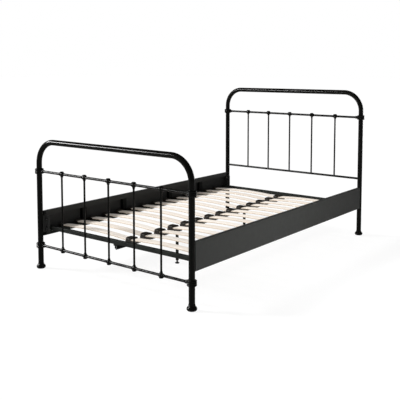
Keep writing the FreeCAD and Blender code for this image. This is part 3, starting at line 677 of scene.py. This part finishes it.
def make_post_feet():
    """Turned feet: a small sole, a full round bun and a waist that closes on the post."""
    low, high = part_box("post_feet")
    bun = high.x - POST_X
    height = high.z
    neck = POST_R + WAIST_WALL
    outline = [(FOOT_AXIS_R, 0.0), (FOOT_SOLE_R - FOOT_BEVEL_W, 0.0), (FOOT_SOLE_R, FOOT_BEVEL_H)]
    steps = 16
    for i in range(steps + 1):
        a = math.radians(BUN_FROM + (BUN_TO - BUN_FROM) * i / steps)
        outline.append((FOOT_SOLE_R + (bun - FOOT_SOLE_R) * math.cos(a) ** BUN_FULLNESS,
                        BUN_CENTRE_Z + BUN_HALF_H * math.sin(a)))
    waist_r, waist_z = outline[-1]
    outline += trumpet(waist_r, neck, waist_z, height - WAIST_RIM_H, WAIST_FLARE, steps)[1:]
    outline += [(neck + WAIST_RIM_RISE, height - WAIST_RIM_H / 2.0), (neck - WAIST_RIM_BEVEL, height),
                (POST_R, height), (POST_R, POST_FOOT_Z), (FOOT_AXIS_R, POST_FOOT_Z)]
    shells = Shells()
    for board in BOARDS:
        for _, side in SIDES:
            spot = Matrix.Translation((side * POST_X, middle(board + "_hoop").y, 0))
            shells.lathe(outline, spot, TURNED_STEPS)
    show("post_foot_castings", shells.mesh("post_feet"), "casting", ["post_feet"], 35.0)


# ---- slats ----
def slat_section(half_width, inner, outer):
    """Rounded rectangle as (across, radius) points, anticlockwise."""
    steps = 4
    r = SLAT_EDGE_R
    points = []
    for sx, sz, start in ((1, -1, -90.0), (1, 1, 0.0), (-1, 1, 90.0), (-1, -1, 180.0)):
        cx = sx * (half_width - r)
        cz = (outer - r) if sz > 0 else (inner + r)
        for i in range(steps + 1):
            a = math.radians(start + 90.0 * i / steps)
            points.append((cx + r * math.cos(a), cz + r * math.sin(a)))
    return points


def map_slat(mesh, index, section, turns, top_r, lean):
    """The maps that birch() reads: along and round the slat, and the depth through its plies."""
    grain = mesh.uv_layers.new(name="grain")
    ply = mesh.uv_layers.new(name="ply")
    count = len(section)
    run = [0.0]
    for j in range(count):
        a, b = section[j], section[(j + 1) % count]
        run.append(run[-1] + math.hypot(b[0] - a[0], b[1] - a[1]))
    for face in mesh.polygons:
        around = [mesh.loops[k].vertex_index % count for k in face.loop_indices]
        closes = len(around) == 4 and 0 in around and count - 1 in around
        for k in face.loop_indices:
            vertex = mesh.loops[k].vertex_index
            j = vertex % count
            u = index * SLAT_MAP_STEP + top_r * (turns[vertex // count] + lean) + SLAT_MAP_START
            v = run[count] if closes and j == 0 else run[j]
            grain.data[k].uv = (u, v)
            ply.data[k].uv = ((section[j][1] - top_r + SLAT_T) / SLAT_T, 0.0)


def make_slat(name, index):
    """One bowed slat between the two ends of its node's box."""
    low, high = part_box(name)
    centre = (low + high) / 2.0
    half = (high.x - low.x) / 2.0
    half_width = (high.y - low.y) / 2.0
    top_r = (half ** 2 + SLAT_BOW ** 2) / (2.0 * SLAT_BOW)
    lean = math.asin(half / top_r)
    hub = Vector((centre.x, centre.y, high.z - top_r))
    inset = SLAT_END_CHAMFER
    section = slat_section(half_width, top_r - SLAT_T, top_r)
    small = slat_section(half_width - inset, top_r - SLAT_T + inset, top_r - inset)
    chamfer = inset / top_r
    turns = [-lean, -lean + chamfer]
    turns += [-lean + 2.0 * lean * i / SLAT_STATIONS for i in range(1, SLAT_STATIONS)]
    turns += [lean - chamfer, lean]
    rings = []
    for i, turn in enumerate(turns):
        outline = small if i in (0, len(turns) - 1) else section
        rings.append([hub + Vector((r * math.sin(turn), across, r * math.cos(turn)))
                      for across, r in outline])
    shells = Shells()
    shells.loft(rings)
    mesh = shells.mesh(name)
    map_slat(mesh, index, section, turns, top_r, lean)
    show(name + "_wood", mesh, "slat_wood", [name], 30.0)


def slat_names():
    return [n for side, _ in SIDES for n in sorted(frame["nodes"]) if n.startswith(side + "_slat_")
            and not n.endswith("ledge")]


# ---- plastics of the slat base ----
def arched_block(shells, x0, x1, outer, base_z, shoulder_z, crown_z):
    """A block across the slat, its top an arch, with a thin bead round the end at x1."""
    steps = 20

    def outline(grow):
        arch = [(-outer - grow, base_z), (outer + grow, base_z)]
        for i in range(steps + 1):
            a = math.pi * i / steps
            arch.append(((outer + grow) * math.cos(a),
                         shoulder_z + grow + (crown_z - shoulder_z) * math.sin(a) ** HOOD_ROUND))
        return arch

    bead_x = x1 - HOOD_BEAD_W * math.copysign(1.0, x1 - x0)
    for start, grow in ((x0, 0.0), (bead_x, HOOD_BEAD_RISE)):
        shells.loft([[Vector((x, y, z)) for y, z in outline(grow)] for x in (start, x1)])


def slat_arms(shells, x_root, x_tip, half_pocket, low_z):
    """Two thin arms beside a slat that rise with it and thin out towards their tips."""
    steps = 10
    under = []
    over = []
    for i in range(steps + 1):
        t = i / steps
        x = x_root + (x_tip - x_root) * t
        lift = ARM_RISE * (1.0 - (1.0 - t) ** ARM_ROUND)
        height = (CUP_BASE + 0.75 * SLAT_T) * (1.0 - t) + ARM_TIP_H * t
        under.append((x, low_z + lift))
        over.append((x, low_z + lift + height))
    for side in (-1, 1):
        shells.loft([[Vector((x, y, z)) for x, z in under + over[::-1]]
                     for y in (side * half_pocket, side * (half_pocket + CUP_WALL))])


def holder_template(beam_z, seat_z, half_pocket, reach, beam_half, low_z, crown_z):
    """A holder about x = y = 0: hooded pocket and arms towards +X, tongue towards -X, lugs below."""
    outer = half_pocket + CUP_WALL
    web = HOLDER_WEB / 2.0
    ceiling = seat_z + SLAT_T + HOLDER_HEADROOM
    half = TONGUE_SHARE * half_pocket
    shells = Shells()
    arched_block(shells, -web, HOLDER_HOOD, outer, beam_z, ceiling + HOOD_T, crown_z)
    shells.block((-TONGUE_REACH, -half, seat_z - CUP_BASE), (0.0, half, seat_z))
    lug = beam_half + LUG_PLAY
    for x0, x1 in ((-lug - LUG_T, -lug), (lug, lug + LUG_T)):
        shells.block((x0, -half, low_z), (x1, half, seat_z - 0.5 * CUP_BASE))
    arms_z = seat_z - CUP_BASE - HOLDER_ARM_DROP
    slat_arms(shells, HOLDER_HOOD - ARM_OVERLAP, reach, half_pocket, arms_z)
    pocket = Shells()
    pocket.block((web, -half_pocket, seat_z), (HOLDER_HOOD + CUT_PAST, half_pocket, ceiling))
    return melted(shells, PLASTIC_VOXEL, keep=0.28, rounds=2, cutters=(pocket,))


def cap_template(reach, half_pocket, base_z, seat_z, crown_z):
    """An end cap with its closed end at x = 0 and the slat coming in from -X."""
    outer = half_pocket + CUP_WALL
    ceiling = seat_z + SLAT_T + CAP_HEADROOM
    rim = seat_z + SLAT_T + CUP_RIM
    mouth = -CUP_WALL - CAP_HOOD
    shells = Shells()
    arched_block(shells, 0.0, mouth, outer, base_z, rim, crown_z)
    shells.block((-CAP_LENGTH, -outer, base_z), (mouth, outer, rim))
    slat_arms(shells, -CAP_LENGTH + ARM_OVERLAP, -reach, half_pocket, base_z)
    pocket = Shells()
    pocket.block((-CAP_LENGTH - CUT_PAST, -half_pocket, seat_z), (-CUP_WALL, half_pocket, ceiling))
    opening = Shells()
    opening.block((-CAP_LENGTH - CUT_PAST, -half_pocket, seat_z), (mouth, half_pocket, crown_z + CUT_PAST))
    return melted(shells, PLASTIC_VOXEL, keep=0.25, rounds=2, cutters=(pocket, opening))


def make_plastics():
    low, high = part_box("slat_holders")
    slat_low, slat_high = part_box("left_slat_01")
    seat_z = slat_low.z
    half_pocket = (slat_high.y - slat_low.y) / 2.0 + CUP_PLAY
    ys = [middle(n).y for n in slat_names() if n.startswith("left")]
    beam_low, beam_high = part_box("centre_beam")
    beam_half = (beam_high.x - beam_low.x) / 2.0
    holder = holder_template(beam_high.z, seat_z, half_pocket, high.x, beam_half, low.z, high.z)
    holders = Shells()
    for y in ys:
        holders.stamp(holder, Matrix.Translation((0, y, 0)))
    show("slat_holder_mouldings", holders.mesh("holders"), "holder_plastic", ["slat_holders"], 45.0)

    cap_low, cap_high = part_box("slat_end_caps")
    cap = cap_template(high.x, half_pocket, cap_low.z, seat_z, cap_high.z)
    caps = Shells()
    for _, side in SIDES:
        turn = Matrix.Identity(4) if side > 0 else Matrix.Rotation(math.pi, 4, "Z")
        for y in ys:
            caps.stamp(cap, Matrix.Translation((side * cap_high.x, y, 0)) @ turn)
    show("slat_cap_mouldings", caps.mesh("caps"), "holder_plastic", ["slat_end_caps"], 45.0)


# ---- studio ----
def make_floor():
    """A wide pale floor, self-lit where it is seen, so that it stays pale in the shade.

    Surfaces get the light of pale paper from it, and reflections see a darker one.
    """
    made, tree, shader = material("studio_floor", 0.7, 0.1)
    drift = noise(tree, place_of(tree), 0.8, 2.0)
    paper = ramp(tree, drift, [(0.3, (0.82, 0.82, 0.82)), (0.7, (0.84, 0.84, 0.84))])
    ray = tree.nodes.new("ShaderNodeLightPath")
    seen = ray.outputs["Is Camera Ray"]
    paper = blend_colours(tree, ray.outputs["Is Glossy Ray"], paper, (0.22, 0.22, 0.22, 1.0))
    tree.links.new(blend_colours(tree, seen, paper, (0.12, 0.12, 0.12, 1.0)), shader.inputs["Base Color"])
    shader.inputs["Emission Color"].default_value = (1.0, 1.0, 1.0, 1.0)
    tree.links.new(remap(tree, seen, 0.0, FLOOR_GLOW, 0.0, 1.0), shader.inputs["Emission Strength"])
    half = FLOOR_HALF
    corners = [(-half, -half, 0), (half, -half, 0), (half, half, 0), (-half, half, 0)]
    mesh = bpy.data.meshes.new("floor")
    mesh.from_pydata(corners, [], [(0, 1, 2, 3)])
    mesh.materials.append(made)
    floor = bpy.data.objects.new("floor", mesh)
    bpy.context.scene.collection.objects.link(floor)


def softbox(name, place, aim, size, watts, diffuse=True, glossy=True):
    """An area light that may be kept from surfaces or from reflections."""
    data = bpy.data.lights.new(name, "AREA")
    data.shape = "RECTANGLE"
    data.size, data.size_y = size
    data.energy = watts
    lamp = bpy.data.objects.new(name, data)
    lamp.location = place
    lamp.rotation_euler = (Vector(aim) - Vector(place)).to_track_quat("-Z", "Y").to_euler()
    lamp.visible_camera = False
    lamp.visible_diffuse = diffuse
    lamp.visible_glossy = glossy
    bpy.context.scene.collection.objects.link(lamp)


def make_lights():
    """A soft sun from the left and the foot, two sheens for the lacquer, a low strip and a weak fill."""
    data = bpy.data.lights.new("key_sun", "SUN")
    data.energy = KEY_STRENGTH
    data.angle = math.radians(KEY_ANGLE)
    key = bpy.data.objects.new("key_sun", data)
    key.rotation_euler = Vector(KEY_FROM).to_track_quat("Z", "Y").to_euler()
    key.visible_glossy = False
    bpy.context.scene.collection.objects.link(key)
    softbox("sheen_softbox", (-3.4, -3.4, 2.15), (0, -0.9, 0.8), (2.6, 0.50), 400.0, diffuse=False)
    softbox("rim_softbox", (0.0, 6.5, 1.2), (0, 0, 0.6), (0.7, 2.6), 60.0, diffuse=False)
    softbox("strip_softbox", (1.9, -0.15, 0.22), (0.63, -0.15, 0.28), (0.8, 0.26), 18.5, glossy=False)
    softbox("fill_softbox", (4.2, -2.6, 2.4), (0, -0.4, 0.4), (1.2, 1.2), 6.0, glossy=False)


def make_air():
    """White air: soft light for surfaces, nearly dark in reflections, white where it is seen."""
    world = bpy.data.worlds.new("studio_air")
    world.use_nodes = True
    tree = world.node_tree
    air = tree.nodes["Background"]
    air.inputs["Color"].default_value = (1.0, 1.0, 1.0, 1.0)
    air.inputs["Strength"].default_value = AIR_DIFFUSE
    ray = tree.nodes.new("ShaderNodeLightPath")
    surface = air.outputs["Background"]
    for kind, strength in (("Is Glossy Ray", AIR_IN_REFLECTIONS), ("Is Camera Ray", AIR_SEEN)):
        other = tree.nodes.new("ShaderNodeBackground")
        other.inputs["Color"].default_value = (1.0, 1.0, 1.0, 1.0)
        other.inputs["Strength"].default_value = strength
        either = tree.nodes.new("ShaderNodeMixShader")
        tree.links.new(ray.outputs[kind], either.inputs["Fac"])
        tree.links.new(surface, either.inputs[1])
        tree.links.new(other.outputs["Background"], either.inputs[2])
        surface = either.outputs["Shader"]
    tree.links.new(surface, tree.nodes["World Output"].inputs["Surface"])
    bpy.context.scene.world = world


def make_camera():
    data = bpy.data.cameras.new("camera")
    data.sensor_width = CAMERA_SENSOR
    data.lens = CAMERA_LENS
    data.shift_y = CAMERA_SHIFT_Y
    camera = bpy.data.objects.new("camera", data)
    camera.location = CAMERA_PLACE
    camera.rotation_euler = (math.pi / 2.0 + CAMERA_TILT, 0.0, CAMERA_TURN)
    bpy.context.scene.collection.objects.link(camera)
    bpy.context.scene.camera = camera


def dress_nodes():
    """The CAD nodes that stay take their slot's material or a coat of their own; the near-black one of the
    stiffeners and the centre beam is partly painted shade.
    """
    for node_name, node in frame["nodes"].items():
        for holder in node.material_slots:
            slot = holder.material.name.split(".")[0]
            holder.material = MATERIALS[COATS_AND_SHADE.get(node_name, slot)]


make_camera()
make_floor()
make_lights()
make_air()
dress_nodes()
for board_name in BOARDS:
    make_hoop(board_name)
    make_rails(board_name)
    make_spindles(board_name)
make_castings()
make_post_feet()
for number, slat_name in enumerate(slat_names()):
    make_slat(slat_name, number)
make_plastics()
bpy.context.scene.view_settings.view_transform = "Standard"
